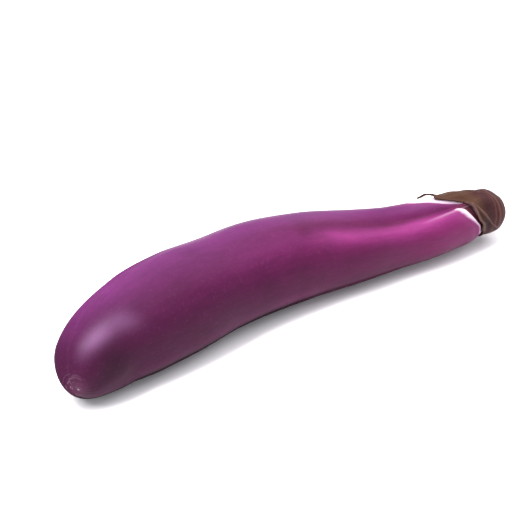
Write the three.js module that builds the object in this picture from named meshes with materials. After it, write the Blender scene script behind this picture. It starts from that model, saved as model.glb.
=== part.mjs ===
// A long, slim eggplant with a bowed belly, a grooved neck, its leathery
// calyx and a short hooked stalk, lying on its side.
// +X runs from the blossom end to the stalk end, +Z is up, millimetres.
import * as THREE from 'three';

// Centre line of the fruit and its radius: x, y, z, radius.
// The first row is the blossom pole, the last one the pole under the stalk.
const SPINE = [
  [14.2, -11.8, 10.9, 12.5],
  [32.0, 0.1, 18.9, 18.8],
  [54.0, 5.0, 22.6, 23.1],
  [75.0, 7.9, 23.5, 24.1],
  [100.0, 10.4, 22.7, 23.3],
  [125.0, 11.1, 22.9, 23.4],
  [150.0, 8.9, 21.8, 22.0],
  [175.0, 4.1, 20.2, 19.5],
  [200.0, 0.4, 18.5, 17.0],
  [225.0, -3.4, 18.2, 15.9],
  [238.0, -4.1, 17.6, 15.0],
  [249.0, -4.4, 17.4, 14.4],
  [257.0, -5.1, 18.1, 12.3],
  [265.0, -5.7, 16.8, 10.4],
  [274.5, -5.4, 16.6, 11.2],
];

// Middle of the whole part on the ground, so that it stands over the origin
const MIDDLE_X = 148.92;
const MIDDLE_Y = 7.56;

// Rounded ends: length taken along the centre line and fullness
const TIP_CAP = 15.9;
const TIP_FULLNESS = 0.93;
const END_CAP = 8.0;
const END_FULLNESS = 1;

// Groove between the two shoulders of the neck: it grows from GROOVE_FROM to
// GROOVE_FULL, turns towards the top, and dies out under the calyx
const GROOVE_DEPTH = 3.0;
const GROOVE_FROM = 118;
const GROOVE_FULL = 228;
const GROOVE_COVERED = 30;
const GROOVE_LEFT = 0.15;
const GROOVE_ANGLE = 26;
const GROOVE_TURN = 10;
const GROOVE_WIDTH = 16;
const SHOULDER_OFFSET = 36;
const SHOULDER_WIDTH = 24;
const SHOULDER_RISE = 0.9;
const UPPER_RISE = 0.5;

// Faint waves round the skin: rise, count and phase of each
const WAVES = [[0.1, 5, 0.6], [0.08, 8, 2]];

// The belly is a little fuller on the near side of its lowest line,
// which widens the flat spot it lies on
const REST_RISE = 1.1;
const REST_ANGLE = 166;
const REST_WIDTH = 12;
const REST_START = 2;
const REST_END = 185;

// Calyx: clearance to the skin, crown and lobe thickness, stalk socket
const CALYX_GAP = 0.45;
const LOBE_THICKNESS = 0.9;
const CROWN_EXTRA = 2.3;
const CROWN_REACH = 26;
const BELOW_THINNING = 0.42;
const BELOW_ANGLE = 140;
const BELOW_WIDTH = 55;
const CALYX_MIN = 0.7;
const CALYX_RIB = 0.3;
const CALYX_RIBS = 5;
const CALYX_RIB_ANGLE = 30;
const EDGE_THINNING = 0.4;
const SOCKET_DEPTH = 1.1;
const SOCKET_RADIUS = 5.4;
const SOCKET_SLOPE = 1.6;
const CROWN_WALK = 13;
const LONG_LOBE_ANGLE = -22.5;
const LONG_LOBE_WIDTH = 13;
const LONG_LOBE_LIFT = 1.5;

// Reach of the calyx from its middle, by angle about the centre line:
// one long dried lobe on top, two on the far side, short worn ones in front
const LOBES = [
  [-52, 27], [-38, 36], [-27, 51], [-22.5, 57], [-18, 54], [-9, 51.5], [0, 48],
  [5, 39], [10, 33.3], [19, 30.6], [32, 29.3], [45, 29.6], [57, 29.2], [70, 27.8],
  [84, 25.3], [97, 24.6], [113, 23], [150, 22.5], [170, 25], [187, 32],
  [198.75, 37], [208, 32], [222, 25], [238, 26], [252, 38], [262.5, 46],
  [272, 38], [286, 27],
];

// Stalk: radius, flare at the calyx and at the cut, ribs, hook direction
const STALK_RADIUS = 3.3;
const STALK_FLARE = 1.0;
const STALK_CUT_FLARE = 0.45;
const STALK_RIBS = 5;
const STALK_RIB_DEPTH = 0.075;
const STALK_FLARE_LENGTH = 3;
const STALK_CUT_LENGTH = 3.5;
const STALK_TWIST = 0.1;
const STALK_CLEARANCE = 0.35;
const STALK_START = 0.8;
const STALK_STRAIGHT = 10;
// Rounded cut end: share of the radius and how far it stands out
const CUT_RINGS = [[0.9, 0.4], [0.55, 0.55]];
const CUT_MIDDLE = 0.5;
const HOOK_RADIUS = 5;
const HOOK = new THREE.Vector3(0.05, 0.62, -0.78).normalize();
const UP = new THREE.Vector3(0, 0, 1);

// Mesh fineness: points on a ring, rings of each stretch of the fruit, and
// how far the rings crowd towards the poles
const FRUIT_COLUMNS = 48;
const TIP_RINGS = 9;
const OPEN_RINGS = 40;
const COVERED_RINGS = 20;
const COVERED_LENGTH = 36;
const END_RINGS = 8;
const CAP_SPACING = 1.2;
const CALYX_COLUMNS = 96;
const OUTER_WALKS = [2.5, 5, 6.2, 7.4, 9.2, 11];
const INNER_WALKS = [1.6, 3.2, 5, 7, 9, 11];
const OUTER_STEPS = 11;
const INNER_STEPS = 11;
const INNER_EDGE = 0.995;
const STALK_COLUMNS = 30;
const STALK_RINGS = 24;
const HOOK_STEPS = 5;

const rad = THREE.MathUtils.degToRad;

function smooth(from, to, value) {
  return THREE.MathUtils.smoothstep(value, from, to);
}

// Angle folded into -180..180 degrees
function wrap(angle) {
  return angle - 2 * Math.PI * Math.round(angle / (2 * Math.PI));
}

function bell(value, width) {
  return Math.exp(-((value / width) ** 2));
}

// Smooth curve through the points (knots[i], values[i])
function curve(knots, values) {
  const last = knots.length - 1;
  const step = [];
  const slope = [];
  for (let i = 0; i < last; i += 1) {
    step.push(knots[i + 1] - knots[i]);
    slope.push((values[i + 1] - values[i]) / step[i]);
  }
  const tangent = new Array(last + 1);
  for (let i = 1; i < last; i += 1) {
    const span = step[i - 1] + step[i];
    tangent[i] = (slope[i - 1] * step[i] + slope[i] * step[i - 1]) / span;
  }
  tangent[0] = 1.5 * slope[0] - 0.5 * tangent[1];
  tangent[last] = 1.5 * slope[last - 1] - 0.5 * tangent[last - 1];
  return (at) => {
    const x = Math.min(Math.max(at, knots[0]), knots[last]);
    let i = 0;
    while (i < last - 1 && x >= knots[i + 1]) i += 1;
    const t = (x - knots[i]) / step[i];
    const t2 = t * t;
    const t3 = t2 * t;
    return (2 * t3 - 3 * t2 + 1) * values[i]
      + (t3 - 2 * t2 + t) * step[i] * tangent[i]
      + (3 * t2 - 2 * t3) * values[i + 1]
      + (t3 - t2) * step[i] * tangent[i + 1];
  };
}

// Smooth path through points, by distance travelled
function path(points) {
  const travelled = [0];
  for (let i = 1; i < points.length; i += 1) {
    travelled.push(travelled[i - 1] + points[i].distanceTo(points[i - 1]));
  }
  const x = curve(travelled, points.map((p) => p.x));
  const y = curve(travelled, points.map((p) => p.y));
  const z = curve(travelled, points.map((p) => p.z));
  return {
    travelled,
    length: travelled[travelled.length - 1],
    at: (s) => new THREE.Vector3(x(s), y(s), z(s)),
  };
}

const spine = path(SPINE.map(([x, y, z]) => new THREE.Vector3(x - MIDDLE_X, y - MIDDLE_Y, z)));
const spineRadius = curve(spine.travelled, SPINE.map((row) => row[3]));
const LENGTH = spine.length;

// Place, heading, sideways and upward directions on a path
function frameOn(line, s) {
  const reach = 0.5;
  const heading = line.at(Math.min(s + reach, line.length))
    .sub(line.at(Math.max(s - reach, 0))).normalize();
  const side = new THREE.Vector3().crossVectors(UP, heading).normalize();
  const rise = new THREE.Vector3().crossVectors(heading, side);
  return { place: line.at(s), heading, side, rise };
}

// Direction at an angle about a path: 0 is up, 90 degrees the near side
function around(frame, angle) {
  return frame.rise.clone().multiplyScalar(Math.cos(angle))
    .addScaledVector(frame.side, -Math.sin(angle));
}

// Height of the skin over the plain round section
function relief(s, angle) {
  const hidden = smooth(LENGTH - GROOVE_COVERED, LENGTH - GROOVE_COVERED / 2, s);
  const grown = smooth(GROOVE_FROM, GROOVE_FULL, s) * (1 - (1 - GROOVE_LEFT) * hidden);
  const middle = rad(GROOVE_ANGLE - GROOVE_TURN * smooth(200, 250, s));
  const beside = rad(SHOULDER_OFFSET);
  const wide = rad(SHOULDER_WIDTH);
  const groove = -GROOVE_DEPTH * bell(wrap(angle - middle), rad(GROOVE_WIDTH));
  const lower = SHOULDER_RISE * bell(wrap(angle - middle - beside), wide);
  const upper = UPPER_RISE * bell(wrap(angle - middle + beside), wide);
  const rest = REST_RISE * bell(wrap(angle - rad(REST_ANGLE)), rad(REST_WIDTH))
    * smooth(REST_START, REST_START + 14, s) * (1 - smooth(REST_END - 40, REST_END, s));
  let height = grown * (groove + lower + upper) + rest;
  for (const [rise, count, phase] of WAVES) {
    height += rise * Math.cos(count * angle + phase);
  }
  return height;
}

// Point of the skin, kept above the ground it lies on
function skinPoint(s, shrink, angle) {
  const frame = frameOn(spine, s);
  const reach = (spineRadius(s) + relief(s, angle)) * shrink;
  const point = frame.place.clone().addScaledVector(around(frame, angle), reach);
  point.z = Math.max(point.z, 0);
  return point;
}

// Skin point at a distance walked over the surface from the stalk pole
function endPoint(walk, angle) {
  const turn = Math.min(Math.max(walk / END_CAP, 0), Math.PI / 2);
  const along = turn < Math.PI / 2
    ? END_CAP * (1 - Math.cos(turn))
    : walk - END_CAP * (Math.PI / 2 - 1);
  return skinPoint(LENGTH - along, Math.sin(turn) ** END_FULLNESS, angle);
}

// Outward direction there, from points a small step away on both sides
function endNormal(walk, angle) {
  const step = 0.4;
  const swing = 0.02;
  const at = Math.max(walk, 2 * step);
  const out = endPoint(at + step, angle).sub(endPoint(at - step, angle));
  const turn = endPoint(at, angle + swing).sub(endPoint(at, angle - swing));
  return out.cross(turn).normalize();
}

// Closed surface over rings of points between two pole points.
// Rings run clockwise seen along the way they are stacked.
function closedSurface(first, rings, last, backward) {
  const columns = rings[0].length;
  const points = [first, ...rings.flat(), last];
  const faces = [];
  const put = (a, b, c) => faces.push(...(backward ? [a, c, b] : [a, b, c]));
  const top = points.length - 1;
  for (let j = 0; j < columns; j += 1) {
    const k = (j + 1) % columns;
    put(0, 1 + k, 1 + j);
    for (let i = 0; i < rings.length - 1; i += 1) {
      const near = 1 + i * columns;
      const far = near + columns;
      put(near + j, near + k, far + k);
      put(near + j, far + k, far + j);
    }
    const rim = 1 + (rings.length - 1) * columns;
    put(top, rim + j, rim + k);
  }
  const geometry = new THREE.BufferGeometry().setFromPoints(points);
  geometry.setIndex(faces);
  geometry.computeVertexNormals();
  return geometry;
}

function ring(columns, pointAt) {
  return Array.from({ length: columns }, (_, j) => pointAt((j * 2 * Math.PI) / columns));
}

function mesh(name, geometry, color, roughness) {
  const material = new THREE.MeshStandardMaterial({ color, roughness, metalness: 0 });
  const body = new THREE.Mesh(geometry, material);
  body.name = name;
  return body;
}

// Fruit: glossy skin from the blossom end to the pole under the stalk.
// Rings lie closer together under the calyx, so that the two stay apart.
function makeFruit() {
  const rings = [];
  for (let i = 1; i < TIP_RINGS; i += 1) {
    const turn = (Math.PI / 2) * (i / TIP_RINGS) ** CAP_SPACING;
    const shrink = Math.sin(turn) ** TIP_FULLNESS;
    const s = TIP_CAP * (1 - Math.cos(turn));
    rings.push(ring(FRUIT_COLUMNS, (angle) => skinPoint(s, shrink, angle)));
  }
  const covered = LENGTH - END_CAP - COVERED_LENGTH;
  for (let i = 0; i < OPEN_RINGS; i += 1) {
    const s = TIP_CAP + (covered - TIP_CAP) * (i / OPEN_RINGS);
    rings.push(ring(FRUIT_COLUMNS, (angle) => skinPoint(s, 1, angle)));
  }
  for (let i = 0; i <= COVERED_RINGS; i += 1) {
    const s = covered + COVERED_LENGTH * (i / COVERED_RINGS);
    rings.push(ring(FRUIT_COLUMNS, (angle) => skinPoint(s, 1, angle)));
  }
  for (let i = END_RINGS - 1; i > 0; i -= 1) {
    const walk = END_CAP * (Math.PI / 2) * (i / END_RINGS) ** CAP_SPACING;
    rings.push(ring(FRUIT_COLUMNS, (angle) => endPoint(walk, angle)));
  }
  const geometry = closedSurface(skinPoint(0, 0, 0), rings, endPoint(0, 0), false);
  return mesh('fruit', geometry, 0x5c1f52, 0.28);
}

const lobeAngles = LOBES.map((row) => row[0]);
const lobeReach = LOBES.map((row) => row[1]);
const lobeCurve = curve(
  [...lobeAngles.map((a) => a - 360), ...lobeAngles, ...lobeAngles.map((a) => a + 360)],
  [...lobeReach, ...lobeReach, ...lobeReach],
);

// The long lobe's dried tip arches off the skin and comes down again
function lobeLift(walk, angle) {
  const near = bell(wrap(angle - rad(LONG_LOBE_ANGLE)), rad(LONG_LOBE_WIDTH));
  return LONG_LOBE_LIFT * near * smooth(43, 50, walk) * (1 - 0.8 * smooth(52, 57, walk));
}

// Fleshy over the crown, less so below, thin along the lobes, dished for the stalk
function calyxThickness(share, walk, angle) {
  const below = BELOW_THINNING * bell(wrap(angle - rad(BELOW_ANGLE)), rad(BELOW_WIDTH))
    * smooth(3, 8, walk);
  const flesh = LOBE_THICKNESS + CROWN_EXTRA * (1 - below) * (1 - smooth(3, CROWN_REACH, walk));
  const rib = CALYX_RIB * Math.cos(CALYX_RIBS * (angle - rad(CALYX_RIB_ANGLE)))
    * smooth(3, 14, walk) * (1 - smooth(20, 34, walk));
  const socket = SOCKET_DEPTH * (1 - smooth(SOCKET_RADIUS, SOCKET_RADIUS + SOCKET_SLOPE, walk));
  const thinning = 1 - EDGE_THINNING * smooth(0.6, 1, share);
  return Math.max((flesh + rib) * thinning - socket, CALYX_MIN);
}

function calyxPoint(walk, angle, thick) {
  const share = walk / lobeCurve(THREE.MathUtils.radToDeg(angle));
  const over = CALYX_GAP + lobeLift(walk, angle)
    + (thick ? calyxThickness(share, walk, angle) : 0);
  return endPoint(walk, angle).addScaledVector(endNormal(walk, angle), over);
}

// Rings over the crown at fixed walks, then along each lobe to its edge
function calyxRings(crownWalks, lobeSteps, edge, thick) {
  const rings = crownWalks.map((walk) => (
    ring(CALYX_COLUMNS, (angle) => calyxPoint(walk, angle, thick))
  ));
  for (let i = 0; i <= lobeSteps; i += 1) {
    rings.push(ring(CALYX_COLUMNS, (angle) => {
      const reach = edge * lobeCurve(THREE.MathUtils.radToDeg(angle));
      return calyxPoint(CROWN_WALK + ((reach - CROWN_WALK) * i) / lobeSteps, angle, thick);
    }));
  }
  return rings;
}

// Calyx: a cap over the stalk end, thin lobes reaching along the neck
function makeCalyx() {
  const outer = calyxRings(OUTER_WALKS, OUTER_STEPS, 1, true);
  const inner = calyxRings(INNER_WALKS, INNER_STEPS, INNER_EDGE, false);
  const rings = [...outer, ...inner.reverse()];
  const geometry = closedSurface(calyxPoint(0, 0, true), rings, calyxPoint(0, 0, false), true);
  return mesh('calyx', geometry, 0x5b4334, 0.6);
}

// Stalk: ribbed, flared onto the calyx, hooked down behind it
function makeStalk() {
  const pole = frameOn(spine, LENGTH);
  const lift = CALYX_GAP + calyxThickness(0, 0, 0) + STALK_CLEARANCE;
  const base = pole.place.clone().addScaledVector(pole.heading, lift);
  const across = HOOK.clone().addScaledVector(pole.heading, -HOOK.dot(pole.heading)).normalize();
  const sweep = Math.acos(HOOK.dot(pole.heading));
  const stops = [base];
  for (let i = 0; i <= HOOK_STEPS; i += 1) {
    const turn = (sweep * i) / HOOK_STEPS;
    stops.push(base.clone()
      .addScaledVector(pole.heading, STALK_START + HOOK_RADIUS * Math.sin(turn))
      .addScaledVector(across, HOOK_RADIUS * (1 - Math.cos(turn))));
  }
  stops.push(stops[stops.length - 1].clone().addScaledVector(HOOK, STALK_STRAIGHT));
  const line = path(stops);
  const stalkRing = (s, share, ahead) => {
    const frame = s > 0 ? frameOn(line, s) : { ...pole, place: base };
    const radius = STALK_RADIUS + STALK_FLARE * bell(s, STALK_FLARE_LENGTH)
      + STALK_CUT_FLARE * bell(s - line.length, STALK_CUT_LENGTH);
    return ring(STALK_COLUMNS, (angle) => {
      const ribbed = 1 + STALK_RIB_DEPTH * Math.cos(STALK_RIBS * angle + STALK_TWIST * s);
      return frame.place.clone()
        .addScaledVector(frame.heading, ahead)
        .addScaledVector(around(frame, angle), radius * ribbed * share);
    });
  };
  const rings = [stalkRing(0, 0.5, 0)];
  for (let i = 0; i <= STALK_RINGS; i += 1) {
    rings.push(stalkRing((line.length * i) / STALK_RINGS, 1, 0));
  }
  for (const [share, ahead] of CUT_RINGS) {
    rings.push(stalkRing(line.length, share, ahead));
  }
  const tip = frameOn(line, line.length);
  const end = tip.place.clone().addScaledVector(tip.heading, CUT_MIDDLE);
  return mesh('stalk', closedSurface(base, rings, end, false), 0x6d5840, 0.75);
}

const eggplant = new THREE.Group();
eggplant.name = 'eggplant';
eggplant.add(makeFruit(), makeCalyx(), makeStalk());

export default eggplant;
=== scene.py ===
"""A long slim eggplant lying on a pale floor: skin, calyx, stalk and studio.

Every piece is a surface worked out with numpy as a function of two
parameters and laid over the part's own solids, +X towards the stalk.

Lengths are in mm, and in metres in the meshes and the studio. "s" is the
distance along the centre line from the blossom pole, and "walk" the distance
over the skin from the pole under the stalk. Angles run about the centre line,
0 on top and 90 degrees on the near side; "angle", "turn" and "about" hold
radians, "deg" and the named numbers degrees. A pair of numbers is (from, to)
of an even rise or (middle, width) of a bump.
"""
import math

import bpy
import numpy as np
from bpy.props import FloatProperty, FloatVectorProperty, IntProperty, PointerProperty
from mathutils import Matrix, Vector


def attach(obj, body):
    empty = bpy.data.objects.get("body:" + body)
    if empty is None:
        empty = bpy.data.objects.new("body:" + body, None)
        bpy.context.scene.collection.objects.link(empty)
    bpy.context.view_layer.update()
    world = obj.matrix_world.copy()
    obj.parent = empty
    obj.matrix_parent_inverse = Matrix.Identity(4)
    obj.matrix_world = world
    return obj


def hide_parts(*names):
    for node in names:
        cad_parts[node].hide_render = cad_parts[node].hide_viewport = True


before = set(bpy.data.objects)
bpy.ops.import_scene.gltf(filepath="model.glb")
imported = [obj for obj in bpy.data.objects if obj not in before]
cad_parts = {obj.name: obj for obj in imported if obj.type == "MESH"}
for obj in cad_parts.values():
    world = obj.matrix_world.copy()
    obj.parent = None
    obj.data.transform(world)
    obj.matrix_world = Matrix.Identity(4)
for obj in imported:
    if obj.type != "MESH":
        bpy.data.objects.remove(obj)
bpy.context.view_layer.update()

bl_info = {
    "name": "Long eggplant",
    "version": (1, 0, 0),
    "blender": (4, 5, 0),
    "location": "View3D > Sidebar > Eggplant",
    "description": "Builds a long slim eggplant with its calyx and stalk",
    "category": "Add Mesh",
}

MM = 0.001

# Centre line of the fruit and its radius: x, y, z, radius.
# The first row is the blossom pole, the last one the pole under the stalk.
SPINE = np.array([
    (14.2, -11.8, 10.9, 12.5),
    (32.0, 0.1, 18.9, 18.8),
    (54.0, 5.0, 22.6, 23.1),
    (75.0, 7.9, 23.5, 24.1),
    (100.0, 10.4, 22.7, 23.3),
    (125.0, 11.1, 22.9, 23.4),
    (150.0, 8.9, 21.8, 22.0),
    (175.0, 4.1, 20.2, 19.5),
    (200.0, 0.4, 18.5, 17.0),
    (225.0, -3.4, 18.2, 15.9),
    (238.0, -4.1, 17.6, 15.0),
    (249.0, -4.4, 17.4, 14.4),
    (257.0, -5.1, 18.1, 12.3),
    (265.0, -5.7, 16.8, 10.4),
    (274.5, -5.4, 16.6, 11.2),
])
MIDDLE = np.array([148.92, 7.56, 0.0])

# Rounded ends: length of each cap, bluntness of the blossom end, and how much
# longer the walk over the cap under the stalk is than the cap itself
TIP_CAP, TIP_FULLNESS = 15.9, 0.93
END_CAP = 8.0
END_EXTRA = END_CAP * (np.pi / 2 - 1)

# Shares of the rings on the two caps, and the power that crowds them to the poles
TIP_SHARE, END_SHARE, CROWDING = 0.16, 0.08, 1.2

# Groove of the neck: where it grows, how it fades under the calyx, its angle,
# its width and its slow turn towards the top
GROOVE_GROWS = (118.0, 228.0)
GROOVE_FADE, GROOVE_FADED = 30.0, 0.85
GROOVE_ANGLE, GROOVE_WIDTH = 26, 16
GROOVE_TURN, GROOVE_TURNS = 10, (200, 250)

# Shoulders beside the groove: distance from it, width, heights
SHOULDER_APART, SHOULDER_WIDTH = 36, 24
LOWER_SHOULDER, UPPER_SHOULDER = 0.9, 0.5

# Unevenness of the round section: height, waves round it, phase
ROUND_WAVES = ((0.1, 5, 0.6), (0.08, 8, 2))

# Fuller skin beside the lowest line of the belly
FOOT_HEIGHT, FOOT_ANGLE, FOOT_WIDTH = 1.1, 166, 12
FOOT_GROWS, FOOT_ENDS = (2, 16), (145, 185)

# Waves over the whole skin: height, then for each of two waves the mm of s to a
# radian and its turns round the fruit, and the phase of the second wave. They
# grow by s and end by the distance from the calyx's edge.
SKIN_WAVES = ((0.10, 11.0, 2, 23.0, -3, 1.0), (0.05, 5.0, 5, 7.5, -4, 0.0))
WAVES_GROW, WAVES_END = (4, 20), (-2, 6)

# The near side of the skin at the calyx, where the lip and the pocket are
NEAR_GROWS, NEAR_ENDS = (22, 30), (104, 122)
LIP_HEIGHT, LIP_PLACE = 0.7, (2.0, 1.9)
POCKET_DEPTH, POCKET_GROWS, POCKET_ENDS = 1.5, (-5.0, -1.5), (-1.7, 0.3)

# Crest of the lower shoulder: angle, how it drops at mid-neck and rises again,
# and the edge along it near the calyx, by angle from the crest
CREST, CREST_DROP, CREST_DROPS = 38, 9, (184, 25)
CREST_RISE, CREST_RISES = 6, (208, 235)
EDGE_GROWS, EDGE_ENDS = (204, 226), (1, 6)
EDGE_HEIGHT, EDGE_PLACE, EDGE_DEPTH, EDGE_FOOT = 0.9, (4, 9), 0.5, (-13, 7)

# Heavier lower side of the blossom end, and skin added over a slack place
HEAVY_HEIGHT, HEAVY_ANGLE, HEAVY_GROWS, HEAVY_ENDS = 1.1, (128, 22), (6, 20), (60, 95)
WAIST_HEIGHT, WAIST_PLACE, WAIST_ANGLE = 0.65, (100, 18), (-30, 45)

# The corky scar that the blossom left, in the part's own frame, and a point
# inside the fruit from which its relief is raised; distances are from the scar
SCAR = np.array([-134.2, -20.4, 14.5])
SCAR_CORE = np.array([-122.0, -12.0, 17.0])
SCAR_RIM, SCAR_RIM_PLACE = 0.20, (2.2, 0.7)
SCAR_PIT, SCAR_PIT_PLACE = 0.55, (0, 1.9)
PUCKER, PUCKER_FOLDS, PUCKER_GROWS, PUCKER_PLACE = 0.05, 13, (1.5, 4), (4, 4)

# Reach of the calyx from its middle by angle
LOBES = np.array([
    (-52, 27), (-38, 34), (-30, 41), (-27, 45.5), (-25, 51), (-24, 54.8), (-22.5, 57.5),
    (-21, 54.8), (-20, 51), (-18.5, 47.5),
    (-14, 48.5), (-8, 50), (-4, 50), (0, 45.5), (5, 39), (10, 34.5), (14, 32), (19, 30.6),
    (32, 29.3), (45, 29.6), (57, 29.2), (70, 27.8), (84, 25.3), (97, 24.6), (113, 23),
    (150, 22.5), (170, 25), (187, 32), (198.75, 37), (208, 32), (222, 25), (238, 26),
    (252, 38), (262.5, 46), (272, 38), (286, 27),
], float)
LONG_LOBE = -22.5

# Fold that runs over the near side of the calyx: angle, distance from its middle
FOLD = np.array([
    (10, 32.2), (22, 31.0), (31, 29.6), (38, 27.6), (49, 25.7), (63, 23.7), (73, 22.2),
    (85, 19.3), (98, 15.6), (112, 11.5),
], float)

# White lip of the skin on the near side: angle, distance from the calyx's edge
LIP = np.array([
    (12, 10.3), (24, 10.3), (32, 9.9), (37, 8.9), (43, 7.6), (50, 6.3), (57, 5.2), (64, 4.1),
    (72, 2.9), (80, 2.1), (92, 1.6), (103, 2.0), (124, 1.6),
], float)

# Where the white skin under the long lobe ends: angle, distance from the calyx's middle
PALE = np.array([
    (-60, 34), (-50, 50), (-35, 62), (-24, 66), (-15, 65), (-7, 61.5), (-2, 55), (4, 48),
    (10, 37.5), (15, 33),
], float)

# The skin is measured from the calyx only this near to the pole; past it the
# distance is set to one that no mark reaches
COLLAR_ZONE, FAR = 90, 1e3


# ---- shapes -------------------------------------------------------------

def rise(value, span):
    """0 before the span, 1 after it, an even S over it: t squared times (3 - 2t)."""
    start, stop = span
    t = np.clip((value - start) / (stop - start), 0, 1)
    return t * t * (3 - 2 * t)


def bump(value, place):
    """A bump of height 1: exp of minus ((value - middle) / width) squared."""
    middle, width = place
    return np.exp(-(((value - middle) / width) ** 2))


def wrap(angle):
    """The angle, in radians, folded into half a turn either way."""
    return angle - 2 * np.pi * np.round(angle / (2 * np.pi))


def bump_about(angle, middle, width):
    """The same bump about the centre line, with its middle and width in degrees."""
    return bump(wrap(angle - np.radians(middle)), (0, np.radians(width)))


def curve(knots, values, at):
    """Smooth curve through (knots, values): a cubic in each span.

    The slope at a knot is the mean of its two chords, weighted by the other
    span's length; the end slopes follow from the last chord.
    """
    knots, values = np.asarray(knots, float), np.asarray(values, float)
    at = np.clip(np.asarray(at, float), knots[0], knots[-1])
    step = np.diff(knots)
    chord = np.diff(values) / step
    slope = np.empty_like(values)
    slope[1:-1] = (chord[:-1] * step[1:] + chord[1:] * step[:-1]) / (step[1:] + step[:-1])
    slope[0] = 1.5 * chord[0] - 0.5 * slope[1]
    slope[-1] = 1.5 * chord[-1] - 0.5 * slope[-2]
    i = np.clip(np.searchsorted(knots, at, side="right") - 1, 0, len(knots) - 2)
    t = (at - knots[i]) / step[i]
    t2, t3 = t * t, t * t * t
    return (
        (2 * t3 - 3 * t2 + 1) * values[i]
        + (t3 - 2 * t2 + t) * step[i] * slope[i]
        + (3 * t2 - 2 * t3) * values[i + 1]
        + (t3 - t2) * step[i] * slope[i + 1]
    )


def unit(vectors):
    """The vectors divided by their own lengths."""
    return vectors / np.linalg.norm(vectors, axis=-1, keepdims=True)


class Path:
    """Smooth line through points, by the distance travelled along them."""

    REACH = 0.5

    def __init__(self, points):
        self.points = np.asarray(points, float)
        legs = np.linalg.norm(np.diff(self.points, axis=0), axis=1)
        self.travelled = np.concatenate([[0], np.cumsum(legs)])
        self.length = self.travelled[-1]

    def at(self, s):
        """Point at s: the smooth curve through each coordinate."""
        return np.stack([curve(self.travelled, self.points[:, k], s) for k in range(3)], -1)

    def frame(self, s):
        """Place, heading, sideways and upward directions at s."""
        ahead = self.at(np.minimum(s + self.REACH, self.length))
        behind = self.at(np.maximum(s - self.REACH, 0))
        heading = unit(ahead - behind)
        side = unit(np.cross([0.0, 0.0, 1.0], heading))
        return self.at(s), heading, side, np.cross(heading, side)


spine = Path(SPINE[:, :3] - MIDDLE)
LENGTH = spine.length


def around(up, side, angle):
    """Direction at an angle about a line: 0 is up, a quarter turn the near side."""
    return np.cos(angle)[..., None] * up - np.sin(angle)[..., None] * side


def relief(s, angle, fruit):
    """Height of the skin over the plain round section.

    The neck has a groove and two shoulders beside it, which grow towards the
    stalk and fade under the calyx; the belly is fuller beside its lowest
    line; the rest is a faint unevenness.
    """
    fade = rise(s, (LENGTH - GROOVE_FADE, LENGTH - GROOVE_FADE / 2))
    grown = rise(s, GROOVE_GROWS) * (1 - GROOVE_FADED * fade)
    middle = GROOVE_ANGLE - GROOVE_TURN * rise(s, GROOVE_TURNS)
    groove = -fruit.groove_depth * bump_about(angle, middle, GROOVE_WIDTH)
    lower = LOWER_SHOULDER * bump_about(angle, middle + SHOULDER_APART, SHOULDER_WIDTH)
    upper = UPPER_SHOULDER * bump_about(angle, middle - SHOULDER_APART, SHOULDER_WIDTH)
    uneven = sum(height * np.cos(waves * angle + phase) for height, waves, phase in ROUND_WAVES)
    foot = FOOT_HEIGHT * bump_about(angle, FOOT_ANGLE, FOOT_WIDTH) * rise(s, FOOT_GROWS)
    foot = foot * (1 - rise(s, FOOT_ENDS))
    return grown * (groove + lower + upper) + uneven + foot


def skin_points(s, shrink, angle, fruit, extra=0.0):
    """Points at distance s on the centre line, at (radius + relief + extra) * shrink."""
    place, _, side, up = spine.frame(s)
    radius = curve(spine.travelled, SPINE[:, 3], s)
    reach = (radius + relief(s, angle, fruit) + extra) * shrink
    points = place + reach[..., None] * around(up, side, angle)
    points[..., 2] = np.maximum(points[..., 2], 0.0)
    return points


def end_place(walk):
    """Distance on the centre line and cap shrink, walk mm from the stalk pole.

    Over the cap the walk is an arc: along is cap * (1 - cos(turn)) and the
    shrink is sin(turn). Past it the walk runs along the centre line.
    """
    turn = np.clip(walk / END_CAP, 0, np.pi / 2)
    along = np.where(turn < np.pi / 2, END_CAP * (1 - np.cos(turn)), walk - END_EXTRA)
    return LENGTH - along, np.sin(turn)


def end_points(walk, angle, fruit):
    """Points of the skin, walk mm from the stalk pole."""
    s, shrink = end_place(walk)
    return skin_points(s, shrink, angle, fruit)


def end_normals(walk, angle, fruit):
    """Outward directions there: the cross of a step outward and a step round."""
    step, turn = 0.4, 0.02
    at = np.maximum(walk, 2 * step)
    out = end_points(at + step, angle, fruit) - end_points(at - step, angle, fruit)
    round_it = end_points(at, angle + turn, fruit) - end_points(at, angle, fruit)
    return unit(np.cross(out, round_it))


def lobe_reach(angle):
    """How far the calyx reaches at an angle: the LOBES curve, round and round."""
    deg = np.degrees(angle) % 360
    knots = np.concatenate([LOBES[:, 0] - 360, LOBES[:, 0], LOBES[:, 0] + 360])
    return curve(knots, np.tile(LOBES[:, 1], 3), deg)


def place_in_scene(name, data):
    """A new object with its origin at the scene's."""
    thing = bpy.data.objects.new(name, data)
    bpy.context.scene.collection.objects.link(thing)
    return thing


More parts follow.
